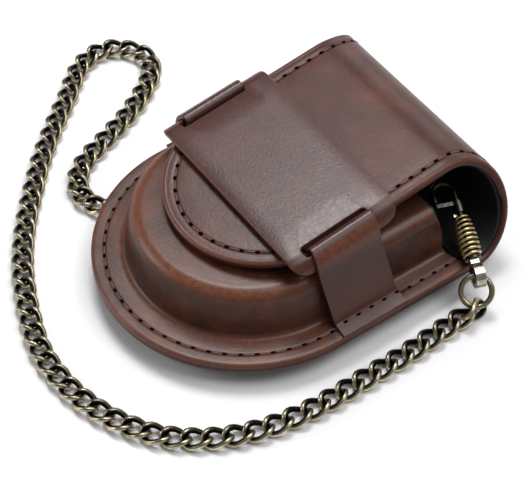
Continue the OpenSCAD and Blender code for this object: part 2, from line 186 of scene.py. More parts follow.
def new_finish(name, roughness, metallic=0.0, color=(0.5, 0.5, 0.5)):
    finish = bpy.data.materials.new(name)
    finish.use_nodes = True
    nodes = finish.node_tree.nodes
    shader = nodes["Principled BSDF"]
    shader.inputs["Roughness"].default_value = roughness
    shader.inputs["Metallic"].default_value = metallic
    shader.inputs["Base Color"].default_value = (*color, 1)
    return finish, nodes, finish.node_tree.links, shader


def object_point(nodes):
    return nodes.new("ShaderNodeTexCoord").outputs["Object"]


def noise(nodes, links, scale, detail=3.0, rough=0.55):
    made = nodes.new("ShaderNodeTexNoise")
    made.inputs["Scale"].default_value = scale
    made.inputs["Detail"].default_value = detail
    made.inputs["Roughness"].default_value = rough
    links.new(object_point(nodes), made.inputs["Vector"])
    return made.outputs["Fac"]


def spread(nodes, links, value, low, high, to_low=0.0, to_high=1.0):
    """Stretches a value from low..high to to_low..to_high."""
    made = nodes.new("ShaderNodeMapRange")
    made.inputs["From Min"].default_value = low
    made.inputs["From Max"].default_value = high
    made.inputs["To Min"].default_value = to_low
    made.inputs["To Max"].default_value = to_high
    links.new(value, made.inputs["Value"])
    return made.outputs["Result"]


def blend_colors(nodes, links, share, first, second):
    made = nodes.new("ShaderNodeMix")
    made.data_type = "RGBA"
    links.new(share, made.inputs["Factor"])
    for socket, value in ((made.inputs[6], first), (made.inputs[7], second)):
        if isinstance(value, tuple):
            socket.default_value = (*value, 1)
        else:
            links.new(value, socket)
    return made.outputs[2]


def sum_of(nodes, links, operation, first, second):
    made = nodes.new("ShaderNodeMath")
    made.operation = operation
    for socket, value in zip(made.inputs, (first, second)):
        if isinstance(value, (int, float)):
            socket.default_value = value
        else:
            links.new(value, socket)
    return made.outputs[0]


def attribute(nodes, name):
    made = nodes.new("ShaderNodeAttribute")
    made.attribute_name = name
    return made.outputs["Fac"]


def raise_surface(nodes, links, shader, height, distance, strength=1.0):
    made = nodes.new("ShaderNodeBump")
    made.inputs["Strength"].default_value = strength
    made.inputs["Distance"].default_value = distance
    links.new(height, made.inputs["Height"])
    links.new(made.outputs["Normal"], shader.inputs["Normal"])


# %% Leather finish
WORN_AND_LIT = (0.26, 0.085, 0.034)


def leather_finish(name, dark, light, patches, roughness, ripples=False, dry=0.32):
    """Leather with a sheen of 0.32 at the round end, and a sheen of dry near the fold."""
    finish, nodes, links, shader = new_finish(name, roughness)
    clouds = spread(nodes, links, noise(nodes, links, 55, 4, 0.6), 0.34, 0.66)
    specks = noise(nodes, links, 900, 4, 0.65)
    streaks = spread(nodes, links, noise(nodes, links, 150, 5, 0.7), 0.42, 0.74)
    mottle = sum_of(nodes, links, "ADD", sum_of(nodes, links, "MULTIPLY", clouds, 0.7), sum_of(nodes, links, "MULTIPLY", specks, 0.3))
    body = blend_colors(nodes, links, mottle, dark, light)
    rub = sum_of(nodes, links, "MULTIPLY", attribute(nodes, "wear_and_light"), spread(nodes, links, specks, 0.3, 0.7, 0.5, 1.2))
    pulled = sum_of(nodes, links, "MULTIPLY", streaks, patches)
    lighter = sum_of(nodes, links, "MAXIMUM", rub, pulled)
    if ripples:
        creases_and_ridge_light = radial_ripples(nodes, links)
        # Painted highlight: the ripples' ridges are painted lighter, in place of light catching them from the side.
        lighter = sum_of(nodes, links, "MAXIMUM", lighter, sum_of(nodes, links, "MULTIPLY", creases_and_ridge_light, 0.16))
    links.new(blend_colors(nodes, links, lighter, body, WORN_AND_LIT), shader.inputs["Base Color"])
    gloss = spread(nodes, links, specks, 0.25, 0.75, roughness - 0.05, roughness + 0.07)
    links.new(gloss, shader.inputs["Roughness"])
    split = nodes.new("ShaderNodeSeparateXYZ")
    links.new(object_point(nodes), split.inputs[0])
    sheen = spread(nodes, links, split.outputs["Y"], -8 * MM, 10 * MM, 0.32, dry)
    links.new(sheen, shader.inputs["Specular IOR Level"])
    pores = nodes.new("ShaderNodeTexVoronoi")
    pores.feature = "SMOOTH_F1"
    pores.inputs["Scale"].default_value = 2200
    links.new(object_point(nodes), pores.inputs["Vector"])
    fine = sum_of(nodes, links, "MULTIPLY", noise(nodes, links, 1100, 4, 0.6), 0.8)
    broad = sum_of(nodes, links, "MULTIPLY", noise(nodes, links, 120, 2, 0.5), 1.2)
    grain = sum_of(nodes, links, "ADD", sum_of(nodes, links, "MULTIPLY", pores.outputs["Distance"], 0.5), fine)
    grain = sum_of(nodes, links, "ADD", grain, broad)
    if ripples:
        grain = sum_of(nodes, links, "ADD", grain, creases_and_ridge_light)
    raise_surface(nodes, links, shader, grain, 0.00006, 0.5)
    return finish


def radial_ripples(nodes, links):
    """Fine creases where the moulded wall runs out into the flange, across the round end; the same wave also paints a
    highlight on their ridges.
    """
    split = nodes.new("ShaderNodeSeparateXYZ")
    links.new(object_point(nodes), split.inputs[0])
    shifted = sum_of(nodes, links, "SUBTRACT", split.outputs["Y"], CUP_Y * MM)
    angle = sum_of(nodes, links, "ARCTAN2", split.outputs["X"], shifted)
    loose = sum_of(nodes, links, "MULTIPLY", noise(nodes, links, 90, 2), 9.0)
    wave = sum_of(nodes, links, "SINE", sum_of(nodes, links, "ADD", sum_of(nodes, links, "MULTIPLY", angle, 350.0), loose), 0)
    return sum_of(nodes, links, "MULTIPLY", wave, sum_of(nodes, links, "MULTIPLY", attribute(nodes, "ripple"), 0.55))


case_leather = leather_finish("case_leather", (0.016, 0.0052, 0.0044), (0.068, 0.0212, 0.0132), 0.28, 0.36, ripples=True)
flap_leather = leather_finish("flap_leather", (0.031, 0.0095, 0.0074), (0.060, 0.0184, 0.0124), 0.14, 0.35, dry=0.19)
band_leather = leather_finish("band_leather", (0.033, 0.0106, 0.0092), (0.050, 0.0160, 0.0126), 0.08, 0.32)

# %% [markdown]
# The inside is lined in black, and the seams are sewn with a waxed brown thread that
# sinks into its holes. The chain is brass, dark all over, as patina and, in the links'
# insides, as painted shade. The outside of its links is lighter, partly rubbed and partly
# a painted reflection, and their tops are painted duller. The spring is brighter, and the
# swivel is grey steel.

# %% Lining, thread and metals


def plain_finish(name, color, roughness, grain_scale, depth, shine=0.5):
    finish, nodes, links, shader = new_finish(name, roughness, 0.0, color)
    shader.inputs["Specular IOR Level"].default_value = shine
    pile = noise(nodes, links, grain_scale, 4, 0.6)
    low = tuple(c * 0.75 for c in color)
    high = tuple(min(1, c * 1.3) for c in color)
    links.new(blend_colors(nodes, links, pile, low, high), shader.inputs["Base Color"])
    raise_surface(nodes, links, shader, pile, depth, 0.6)
    return finish


def aged_metal(name, dark, bright, roughness):
    finish, nodes, links, shader = new_finish(name, roughness, 1.0)
    patches = spread(nodes, links, noise(nodes, links, 420, 4, 0.65), 0.35, 0.7)
    # The stored number brings in the bright metal: rubbed wear, and on the chain's links also painted light and shade.
    rubbed_and_lit = sum_of(nodes, links, "MULTIPLY", attribute(nodes, "wear_and_light"), spread(nodes, links, patches, 0, 1, 0.55, 1.1))
    links.new(blend_colors(nodes, links, rubbed_and_lit, dark, bright), shader.inputs["Base Color"])
    links.new(spread(nodes, links, patches, 0, 1, roughness + 0.12, roughness - 0.05), shader.inputs["Roughness"])
    raise_surface(nodes, links, shader, noise(nodes, links, 1500, 3), 0.00004, 0.5)
    return finish


lining_cloth = plain_finish("lining_cloth", (0.007, 0.007, 0.009), 0.5, 2500, 0.00008, 0.3)
thread_wax = plain_finish("thread_wax", (0.060, 0.021, 0.012), 0.38, 4000, 0.00006)
hole_shade = plain_finish("hole_shade", (0.004, 0.0015, 0.001), 0.9, 2000, 0.00003, 0.0)
chain_brass = aged_metal("chain_brass", (0.010, 0.009, 0.0085), (0.80, 0.69, 0.45), 0.27)
hook_brass = aged_metal("hook_brass", (0.20, 0.15, 0.07), (0.62, 0.50, 0.26), 0.28)
# Painted shade: the hook and its sleeve lie in the shadow inside the pouch's mouth, so their metal is painted dark.
sleeve_steel_in_shade = aged_metal("sleeve_steel_in_shade", (0.06, 0.056, 0.05), (0.30, 0.28, 0.25), 0.24)
hook_in_shade = aged_metal("hook_in_shade", (0.045, 0.040, 0.032), (0.20, 0.18, 0.14), 0.24)

# %% [markdown]
# Leather is cut flat, its edges are rounded and creased, and then it is bent. The
# pieces follow the same order. `sheet_section` is half of the strip's cross-section:
# from the middle of the smooth side, over the seam's groove, the crease and the rounded
# edge, to the middle of the flesh side. The section is spun for the round end and
# pulled straight for the rest.

# %% Cut a strip


def sheet_section(half, thick):
    seam = half - SEAM_IN
    crease = half - 1.15
    top = [(0, 0), (half * 0.4, 0), (half * 0.7, 0), (seam - 0.8, 0), (seam - 0.35, -0.03)]
    groove = [(seam - 0.14, -0.13), (seam, -0.17), (seam + 0.14, -0.13), (seam + 0.35, -0.03), (seam + 0.8, 0)]
    line = [(crease - 0.3, 0), (crease, -0.05), (crease + 0.25, 0.0)]
    edge = arc(half - 0.7, -0.7, 0.7, 84, 0, 5) + arc(half - 0.45, -thick + 0.45, 0.45, 0, -90, 3)
    return top + groove + line + edge + [(half * 0.6, -thick), (0, -thick)]


def cut_strip(section, length, rows, tip_steps=56):
    """A flat strip: x across it, y along it from the middle of its round end, z its height."""
    bm = bmesh.new()
    verts, edges = chain_edges(bm, [(r, 0, h) for r, h in section])
    round_end = bmesh.ops.spin(
        bm, geom=verts + edges, cent=(0, 0, 0), axis=(0, 0, 1), dvec=(0, 0, 0),
        angle=-math.pi, steps=tip_steps, use_merge=False, use_normal_flip=False, use_duplicate=False,
    )
    row = edges + [g for g in round_end["geom_last"] if isinstance(g, bmesh.types.BMEdge)]
    for _ in range(rows):
        row = pull(bm, row, (0, length / rows, 0))
    bmesh.ops.remove_doubles(bm, verts=bm.verts, dist=0.001)
    bmesh.ops.holes_fill(bm, edges=[e for e in bm.edges if e.is_boundary], sides=0)
    return bm


# %% [markdown]
# Bending maps each flat point to its place. The fold is an arc of radius 12.35 mm, and
# the strip narrows over it from the back's 70 mm to the flap's 48 mm. Everything within
# 6 mm of the edge keeps its distance from the edge, so the seam stays beside it.

# %% Bend the strips
KEPT = 6.0


def fold_half(z):
    """Half the strip's width at a height on the fold."""
    share = min(1, max(0, (z - BACK_Z) / (2 * FOLD_R)))
    return FLANGE_R + (FLAP_HALF - FLANGE_R) * share


def narrowed(x, flat_half, half):
    """Moves a point across the strip to the strip's width there."""
    inside = flat_half - abs(x)
    if inside < KEPT:
        return math.copysign(half - inside, x)
    return x * (half - KEPT) / (flat_half - KEPT)


BACK_FLAT = FOLD_Y - ROUND_Y
BACK_LENGTH = BACK_FLAT + FOLD_R * math.pi / 2
FLAP_LENGTH = FLAP_STRAIGHT + FOLD_R * (math.pi / 2 + TILT)


def bend_back(p):
    """The back's smooth side faces down, and its end turns up round the fold."""
    x, s, h = p
    if s <= BACK_FLAT:
        return Vector((x, ROUND_Y + s, BACK_Z - h))
    a = (s - BACK_FLAT) / FOLD_R - math.pi / 2
    half = fold_half(FOLD_Z + FOLD_R * math.sin(a))
    r = FOLD_R + h
    return Vector((narrowed(x, FLANGE_R, half), FOLD_Y + r * math.cos(a), FOLD_Z + r * math.sin(a)))


def bend_flap(p):
    """The flap slopes down from the fold, and its other end turns down round it."""
    x, s, h = p
    u = FLAP_STRAIGHT - s
    if u >= 0:
        y = FLAP_TOP_Y - u * math.cos(TILT) - h * math.sin(TILT)
        return Vector((x, y, FLAP_TOP_Z - u * math.sin(TILT) + h * math.cos(TILT)))
    a = math.pi / 2 + TILT + u / FOLD_R
    half = fold_half(FOLD_Z + FOLD_R * math.sin(a))
    r = FOLD_R + h
    return Vector((narrowed(x, FLAP_HALF, half), FOLD_Y + r * math.cos(a), FOLD_Z + r * math.sin(a)))


def bend(bm, how):
    """Moves each point by a rule, and turns the faces outward again where the rule mirrors."""
    for v in bm.verts:
        v.co = how(v.co)
    bm.normal_update()
    bmesh.ops.recalc_face_normals(bm, faces=bm.faces)


def strip_wear(half, length):
    """Wear on a flat strip: its rounded edge, and a little along the fold."""
    def at(p):
        across = math.hypot(p[0], p[1]) if p[1] < 0 else abs(p[0])
        edge = smooth(half - 0.75, half - 0.15, across) * smooth(-0.9, -0.2, p[2])
        return 0.4 * edge
    return at


def mark_wear(bm, how):
    """Stores the wear before the strip is bent."""
    layer = bm.verts.layers.float.new("flat_wear")
    for v in bm.verts:
        v[layer] = how(v.co)


def bent_piece(name, bm, how, wear_and_light, material, replaced, crisp=35):
    marks = {}
    bm.verts.index_update()
    for v in bm.verts:
        marks[v.index] = wear_and_light(v.co)
    bend(bm, how)
    bmesh.ops.recalc_face_normals(bm, faces=bm.faces)
    piece = finish_piece(name, bm, material, replaced, crisp)
    values = [marks[i] for i in range(len(marks))]
    piece.data.attributes["wear_and_light"].data.foreach_set("value", values)
    return piece


COVER = 2.0
FOLD_LOW_START = (0, FOLD_Y * MM, BACK_Z * MM)
FOLD_LOW_END = (0, 0.0427, 0.014)
FOLD_HIGH_START = (0, 0.0427, 0.0185)
FOLD_HIGH_END = (0, FOLD_Y * MM, 0.0287)

back_strip = bent_piece(
    "back_strip", cut_strip(sheet_section(FLANGE_R, 1.6), BACK_LENGTH, 40), bend_back,
    strip_wear(FLANGE_R, BACK_LENGTH), flap_leather, ["back_panel", "fold_lower"],
)
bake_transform(back_strip)
flap_strip = bent_piece(
    "flap_strip", cut_strip(sheet_section(FLAP_HALF, COVER), FLAP_LENGTH, 40), bend_flap,
    strip_wear(FLAP_HALF, FLAP_LENGTH), flap_leather,
    ["fold_back", "fold_upper", "flap_upper", "flap_tongue"],
)
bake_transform(flap_strip)

# %% [markdown]
# The lining is a thinner sheet glued to the flesh side, a little smaller than the
# leather, so a line of leather shows round it.

# %% Lining of the fold and the flap
LINING_IN = 1.0


def lining_section(half):
    return [
        (0, -1.55), (half - LINING_IN, -1.55), (half - LINING_IN, -2.2),
        (half - LINING_IN - 0.2, -2.4), (half * 0.6, -2.4), (0, -2.4),
    ]


def no_wear(p):
    return 0.0


flap_lining = bent_piece(
    "flap_lining", cut_strip(lining_section(FLAP_HALF), FLAP_LENGTH, 40), bend_flap, no_wear,
    lining_cloth, ["fold_back_lining", "fold_upper_lining", "flap_upper_lining", "flap_tongue_lining"],
)
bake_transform(flap_lining)

fold_sheet = cut_strip(lining_section(FLANGE_R), BACK_LENGTH, 40)
LINING_FROM = MOUTH_Y + 1.5 - ROUND_Y
bmesh.ops.bisect_plane(
    fold_sheet, geom=fold_sheet.verts[:] + fold_sheet.edges[:] + fold_sheet.faces[:],
    plane_co=(0, LINING_FROM, 0), plane_no=(0, -1, 0), clear_outer=True,
)
bmesh.ops.holes_fill(fold_sheet, edges=[e for e in fold_sheet.edges if e.is_boundary], sides=0)
fold_lining = bent_piece(
    "fold_lining", fold_sheet, bend_back, no_wear, lining_cloth, ["fold_lower_lining"],
)
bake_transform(fold_lining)

# %% [markdown]
# The front is one leather too. Wet leather was pressed over a form, so the cup, its
# rounded shoulder and the flat flange are a single section: spun for the round end and
# pulled straight to the mouth. The cup sits 1.2 mm nearer to the mouth than the flange.

# %% Moulded front
CUP_R = 28.0
CUP_TOP = FLANGE_Z + 11.9
WALL_T = 1.4
SHOULDER = 3.4
DRAFT = 1.2
FOOT = 1.3


def front_section():
    inner = CUP_R - DRAFT - SHOULDER
    outside = [(0, CUP_TOP + 0.15), (inner * 0.45, CUP_TOP + 0.12), (inner * 0.8, CUP_TOP + 0.05)]
    outside += arc(inner, CUP_TOP - SHOULDER, SHOULDER, 90, 6, 10)
    outside += [(CUP_R - DRAFT * 0.55, 13.0), (CUP_R - DRAFT * 0.22, 10.6)]
    outside += arc(CUP_R + FOOT, FLANGE_Z + FOOT, FOOT, 184, 266, 6)
    seam = FLANGE_R - SEAM_IN
    flange = [(seam - 0.8, 7), (seam - 0.35, 6.97), (seam - 0.14, 6.87), (seam, 6.83), (seam + 0.14, 6.87)]
    flange += [(seam + 0.35, 6.97), (seam + 0.8, 7), (33.85, 7.0)]
    edge = arc(34.3, 6.3, 0.7, 84, 0, 5) + [(35, 5.63), (34.9, 5.6)]
    inside = [(CUP_R - WALL_T, 5.6), (CUP_R - WALL_T, 9.0), (CUP_R - WALL_T - 0.8, 15.0)]
    inside += arc(inner, CUP_TOP - SHOULDER, SHOULDER - WALL_T, 0, 90, 5) + [(0, CUP_TOP - WALL_T)]
    return outside + flange + edge + inside


def front_piece():
    bm = bmesh.new()
    verts, edges = chain_edges(bm, [(r, 0, z) for r, z in front_section()])
    spun = bmesh.ops.spin(
        bm, geom=verts + edges, cent=(0, 0, 0), axis=(0, 0, 1), dvec=(0, 0, 0),
        angle=-math.pi, steps=80, use_merge=False, use_normal_flip=False, use_duplicate=False,
    )
    row = edges + [g for g in spun["geom_last"] if isinstance(g, bmesh.types.BMEdge)]
    rows = 18
    for _ in range(rows):
        row = pull(bm, row, (0, (MOUTH_Y - ROUND_Y) / rows, 0))
    bmesh.ops.remove_doubles(bm, verts=bm.verts, dist=0.001)
    bmesh.ops.holes_fill(bm, edges=[e for e in bm.edges if e.is_boundary], sides=0)
    return bm


def seat_front(p):
    """Shifts the cup towards the mouth, and gives the mouth its curved and slanted edge."""
    r = math.hypot(p.x, p.y) if p.y < 0 else abs(p.x)
    y = p.y + ROUND_Y + (CUP_Y - ROUND_Y) * (1 - smooth(27.5, 31.0, r)) * (1 - smooth(0, 20, p.y))
    end = smooth(MOUTH_Y - 6, MOUTH_Y, y)
    y += 2.5 * end * min(1, max(0, (r - CUP_R - FOOT) / (FLANGE_R - CUP_R - FOOT)))
    y -= 1.3 * end * smooth(13.5, 19.0, p.z)
    return Vector((p.x, y, p.z))


def front_wear(p):
    r = math.hypot(p[0], p[1] - CUP_Y) if p[1] < CUP_Y else abs(p[0])
    shoulder = smooth(22.0, 25.0, r) * (1 - smooth(25.6, 27.4, r)) * smooth(14.5, 18, p[2])
    foot = smooth(28.0, 28.8, r) * (1 - smooth(29.6, 31.0, r)) * 0.25
    edge = smooth(FLANGE_R - 0.75, FLANGE_R - 0.15, math.hypot(p[0], min(0, p[1] - ROUND_Y))) * smooth(6.0, 6.7, p[2])
    return 0.34 * shoulder + foot + 0.4 * edge


front_bm = front_piece()
bend(front_bm, seat_front)
closed(front_bm)
moulded_front = finish_piece(
    "moulded_front", front_bm, case_leather, ["front_pocket"], 40, front_wear,
)
ripple = moulded_front.data.attributes.new("ripple", "FLOAT", "POINT")
marks = []
for v in moulded_front.data.vertices:
    x, y, z = v.co / MM
    r = math.hypot(x, y - CUP_Y) if y < CUP_Y else abs(x)
    marks.append(smooth(28.2, 28.9, r) * (1 - smooth(30.2, 31.6, r)) * (1 - smooth(-24, -8, y)))
ripple.data.foreach_set("value", marks)
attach(moulded_front, "case")

# %% [markdown]
# The seams are saddle stitched, about 3.5 mm to a stitch. Each stitch is a short length
# of waxed thread that dips into a punched hole at both ends. They are laid out flat
# along the strip's edge, and then bent with the same rule as the leather.

# %% Stitches


def seam_line(half, length, pitch=STITCH):
    """Holes along a strip's edge: down one side, round the end, up the other side."""
    r = half - SEAM_IN
    total = 2 * length + math.pi * r
    count = round(total / pitch)
    holes = []
    for i in range(count + 1):
        s = total * i / count
        if s <= length:
            holes.append(Vector((r, length - s, 0)))
        elif s <= length + math.pi * r:
            a = -(s - length) / r
            holes.append(Vector((r * math.cos(a), r * math.sin(a), 0)))
        else:
            holes.append(Vector((-r, s - length - math.pi * r, 0)))
    return holes


def lay_stitch(bm, start, end, width=0.27, height=0.2, lift=0.0):
    """One stitch: a long bead of thread between two holes."""
    along = end - start
    made = bmesh.ops.create_uvsphere(bm, u_segments=6, v_segments=7, radius=1.0)
    shape = Matrix.Diagonal((width, height, along.length * 0.5 - 0.32, 1))
    turned = along.to_track_quat("Z", "Y").to_matrix().to_4x4()
    place = Matrix.Translation((start + end) / 2 + Vector((0, 0, lift)))
    bmesh.ops.transform(bm, matrix=place @ turned @ shape, verts=made["verts"])


def punch_hole(bm, at, along, lift=0.0):
    """The shaded mouth of one hole."""
    made = bmesh.ops.create_uvsphere(bm, u_segments=8, v_segments=5, radius=1.0)
    shape = Matrix.Diagonal((0.46, 0.10, 0.62, 1))
    turned = along.to_track_quat("Z", "Y").to_matrix().to_4x4()
    place = Matrix.Translation(at + Vector((0, 0, lift)))
    bmesh.ops.transform(bm, matrix=place @ turned @ shape, verts=made["verts"])


def sew(name, holes, how, joined, lift=None):
    """Lays the stitches and holes flat and bends them with the leather's rule; a seam on one body is attached to it.
    """
    lift = lift or (lambda p: 0.0)
    threads, mouths = bmesh.new(), bmesh.new()
    for a, b in zip(holes, holes[1:]):
        lay_stitch(threads, a + Vector((0, 0, lift(a) - 0.05)), b + Vector((0, 0, lift(b) - 0.05)))
    for a, b in zip(holes, holes[1:] + [holes[-1] * 2 - holes[-2]]):
        punch_hole(mouths, a + Vector((0, 0, lift(a) + 0.01)), b - a)
    made = []
    for kind, bm, material in (("thread", threads, thread_wax), ("holes", mouths, hole_shade)):
        bend(bm, how)
        piece = finish_piece(name + "_" + kind, bm, material, crisp=80)
        if len(joined) == 1:
            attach(piece, joined[0])
        else:
            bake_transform(piece)
        made.append(piece)
    return made


low_fold = ("case", "fold", FOLD_LOW_START, FOLD_LOW_END)
high_fold = ("fold", "flap", FOLD_HIGH_START, FOLD_HIGH_END)
sew("back_seam", seam_line(FLANGE_R, BACK_LENGTH - 0.5), bend_back, low_fold)
sew("flap_seam", seam_line(FLAP_HALF, FLAP_LENGTH - 0.5), bend_flap, high_fold)

BAND_START = 14.3
BAND_LONG = 27.4
TAB_Y = FLAP_TOP_Y - (BAND_START + BAND_LONG / 2) * math.cos(TILT) - 0.64
TAB_LEAN = 1.9
TAB_FOOT_W = 17.4
TAB_TOP_W = 15.4


def front_lift(p):
    """The seam climbs over the tabs' feet."""
    away = abs(p.y + ROUND_Y - TAB_Y - 0.96 * TAB_LEAN) - TAB_FOOT_W / 2 + 0.2
    return 0.98 * (1 - smooth(-0.5, 0.1, away))


def lay_on_front(p):
    return Vector((p.x, p.y + ROUND_Y, FLANGE_Z - 0.08 + p.z))


sew("front_seam", seam_line(FLANGE_R, 27.5 - ROUND_Y), lay_on_front, ("case",), front_lift)

# %% [markdown]
# The band is a flat strap over the flap. Its outline and slots are drawn as loops of
# arcs and filled, then thickened, rounded at the edges and bent down at both ends.

# %% Band
BEND_X = FLAP_HALF - 1.8
BAND_GAP = 0.8
BAND_T = 1.3
BEND_IN = 3.0
BEND_OUT = BEND_IN + BAND_T
BEND_MID = BEND_IN + BAND_T / 2
BEND_Z = BAND_GAP - BEND_IN
BAND_REACH = BEND_X + BEND_MID * math.radians(88)
SLOT_IN = BEND_X - 0.3
SLOT_OUT = BEND_X + 2.1
SLOT_LOW = (TAB_Y - TAB_TOP_W / 2 - FLAP_TOP_Y) / math.cos(TILT) - 1.2
SLOT_HIGH = SLOT_LOW + TAB_TOP_W + 1.2 + 0.35


def rounded_loop(bm, x0, x1, y0, y1, r, z=0.0):
    """A closed loop of edges: a rectangle whose corners are spun arcs."""
    corners = [
        (x1 - r, y1 - r, r, 0), (x0 + r, y1 - r, 0, r), (x0 + r, y0 + r, -r, 0), (x1 - r, y0 + r, 0, -r),
    ]
    first = None
    last = None
    loop = []
    for cx, cy, dx, dy in corners:
        start = bm.verts.new((cx + dx, cy + dy, z))
        spun = bmesh.ops.spin(
            bm, geom=[start], cent=(cx, cy, z), axis=(0, 0, 1), dvec=(0, 0, 0),
            angle=math.pi / 2, steps=7, use_merge=False, use_normal_flip=False, use_duplicate=False,
        )
        end = [g for g in spun["geom_last"] if isinstance(g, bmesh.types.BMVert)][0]
        if last is not None:
            loop.append(bm.edges.new((last, start)))
        first = first or start
        last = end
    loop.append(bm.edges.new((last, first)))
    return loop


def band_shape():
    bm = bmesh.new()
    rounded_loop(bm, -BAND_REACH, BAND_REACH, -BAND_START - BAND_LONG, -BAND_START, 4.3)
    for side in (-1, 1):
        x0, x1 = sorted((side * SLOT_IN, side * SLOT_OUT))
        rounded_loop(bm, x0, x1, SLOT_LOW, SLOT_HIGH, 0.9)
    bmesh.ops.triangle_fill(bm, edges=bm.edges[:], use_beauty=True, use_dissolve=False)
    bmesh.ops.dissolve_limit(bm, angle_limit=0.01, verts=bm.verts, edges=bm.edges)
    made = bmesh.ops.extrude_face_region(bm, geom=bm.faces[:])["geom"]
    lifted = [g for g in made if isinstance(g, bmesh.types.BMVert)]
    bmesh.ops.translate(bm, vec=(0, 0, BAND_T), verts=lifted)
    bmesh.ops.recalc_face_normals(bm, faces=bm.faces)
    rims = [e for e in bm.edges if len(e.link_faces) == 2 and e.calc_face_angle(0) > 1.2]
    rims = [e for e in rims if abs(e.verts[0].co.z - e.verts[1].co.z) < 0.01]
    bmesh.ops.bevel(
        bm, geom=rims, offset=0.32, offset_type="OFFSET", affect="EDGES", segments=3, profile=0.5, material=-1,
    )
    return bm


def slice_rows(bm, places, axis):
    """Cuts lines across a flat piece, so that it can bend there."""
    for at in places:
        bmesh.ops.bisect_plane(
            bm, geom=bm.verts[:] + bm.edges[:] + bm.faces[:], dist=0.0005,
            plane_co=tuple(at if i == axis else 0 for i in range(3)),
            plane_no=tuple(1 if i == axis else 0 for i in range(3)),
        )


def bend_band(p):
    """Bends the ends down about a line under the band's edge, then tilts it with the flap."""
    x, y, h = p
    over = abs(x) - BEND_X
    if over <= 0:
        px, pz = abs(x), BAND_GAP + h
    else:
        a = math.pi / 2 - over / BEND_MID
        px = BEND_X + (BEND_IN + h) * math.cos(a)
        pz = BEND_Z + (BEND_IN + h) * math.sin(a)
    return tilted(Vector((math.copysign(px, x), y, pz)))


def tilted(p):
    """From the flap's own plane to the pouch."""
    y = FLAP_TOP_Y + p.y * math.cos(TILT) - p.z * math.sin(TILT)
    return Vector((p.x, y, FLAP_TOP_Z + p.y * math.sin(TILT) + p.z * math.cos(TILT)))


band_bm = band_shape()
bend_lines = [s * (BEND_X + i * 0.62) for s in (-1, 1) for i in range(9)]
slice_rows(band_bm, bend_lines + [-15, -7.5, 0, 7.5, 15], 0)
slice_rows(band_bm, [-BAND_START - d for d in (4.0, 9.0, 14.0, 19.0, 23.4)], 1)


def band_wear(p):
    far = max(abs(p[0]) - BAND_REACH, -BAND_START - BAND_LONG - p[1], p[1] + BAND_START)
    return 0.5 * smooth(-0.3, -0.02, far) * smooth(0.6, 1.1, p[2]) + 0.1 * smooth(BEND_X - 2, BEND_X + 3, abs(p[0]))


band = bent_piece("band_strap", band_bm, bend_band, band_wear, band_leather, ["band"], 20)
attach(band, "case")

# %% [markdown]
# Each tab starts thin at the flange's edge, climbs the cup's wall, rolls over the end
# of the band and dives into the slot. Its section is drawn once and pulled along the
# tab's width, and the rolled part is lifted to follow the flap's slope.

# %% Tabs
TAB_T = 1.0
TAB_R = BEND_OUT + 0.1 + TAB_T / 2
TAB_RISE = 15
CURL_FROM = 58.6
CURL_R = 1.25
TOE_X = FLANGE_R - 2.8
TOE_R = 1.3


def flap_top(y):
    return FLAP_TOP_Z + (y - FLAP_TOP_Y) * math.tan(TILT)


def tab_line():
    """Middle line of a tab: x, z, thickness, and how far it follows the flap's slope."""
    top = flap_top(TAB_Y)
    roll = (BEND_X, top + BEND_Z)
    curl = arc(roll[0], roll[1], TAB_R - CURL_R, CURL_FROM, CURL_FROM, 1)[0]
    line = [(35.0, FLANGE_Z + 0.3, 0.5, 0), (34.2, FLANGE_Z + 0.31, 0.55, 0), (33.2, FLANGE_Z + 0.36, 0.65, 0)]
    toe = arc(TOE_X, FLANGE_Z + 0.45 + TOE_R, TOE_R, 270, 180 + TAB_RISE, 6)
    line += [(x, z, 0.8 + 0.2 * i / 6, 0) for i, (x, z) in enumerate(toe)]
    start = arc(roll[0], roll[1], TAB_R, TAB_RISE, TAB_RISE, 1)[0]
    for i in range(1, 8):
        t = i / 8
        x, z = (toe[-1][k] + (start[k] - toe[-1][k]) * t for k in (0, 1))
        line.append((x - 0.25 * math.sin(math.pi * t), z, TAB_T, t))
    line += [(x, z, TAB_T, 1) for x, z in arc(roll[0], roll[1], TAB_R, TAB_RISE, CURL_FROM, 8)]
    over = arc(curl[0], curl[1], CURL_R, CURL_FROM + 17, 180, 7)
    line += [(x, z, TAB_T - 0.06 * i, 1) for i, (x, z) in enumerate(over)]
    down = curl[0] - CURL_R
    under = arc(down - 0.38, top + 0.9, 0.38, -30, -90, 2)
    line += [(x, z, 0.52 - 0.05 * i, 1) for i, (x, z) in enumerate(under)]
    line.append((down - 4, top + 0.52, 0.42, 1))
    return line


